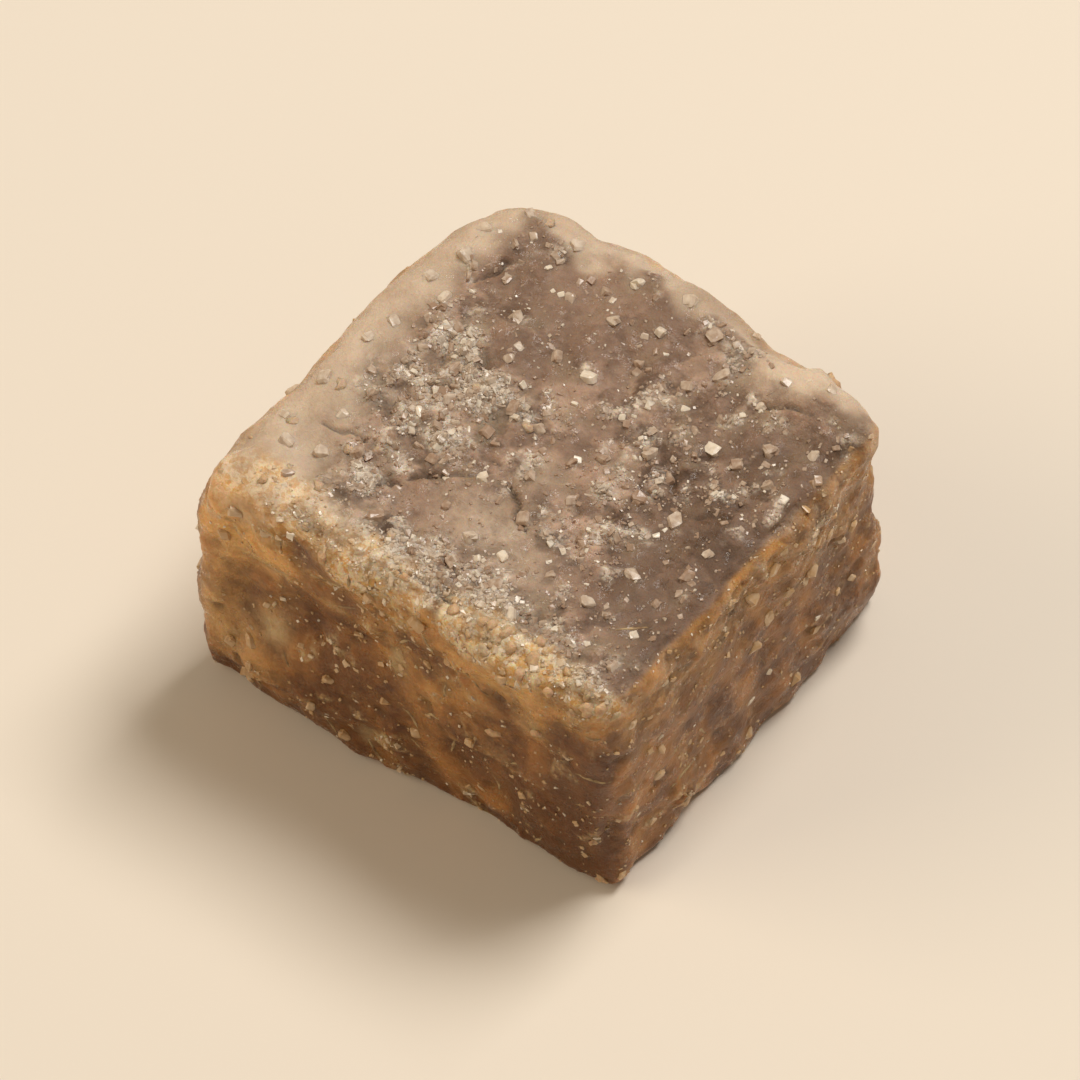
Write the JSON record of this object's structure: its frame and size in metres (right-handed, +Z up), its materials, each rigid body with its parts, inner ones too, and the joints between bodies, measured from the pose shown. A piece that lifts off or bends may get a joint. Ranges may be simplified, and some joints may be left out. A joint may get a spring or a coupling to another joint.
{
  "type": "ginger candy",
  "caption": "Cut block of soft brown ginger candy with a flat underside, leaning cut sides, a lumpy crust and coarse sugar pressed into it.",
  "frame": {"origin": "middle of the flat underside, under the middle of the bounding box", "axes": "+Z up, out of the crust; -Y out of the cut front; +X along the block's longest side"},
  "size_m": [0.0318, 0.0282, 0.0214],
  "materials": {
    "ginger_paste": "soft translucent brown paste with a dry, frosted crust",
    "sugar": "dull white crystals with small bright facets"
  },
  "bodies": {
    "root": {"ginger_candy": "ginger_paste"}
  },
  "joints": []
}
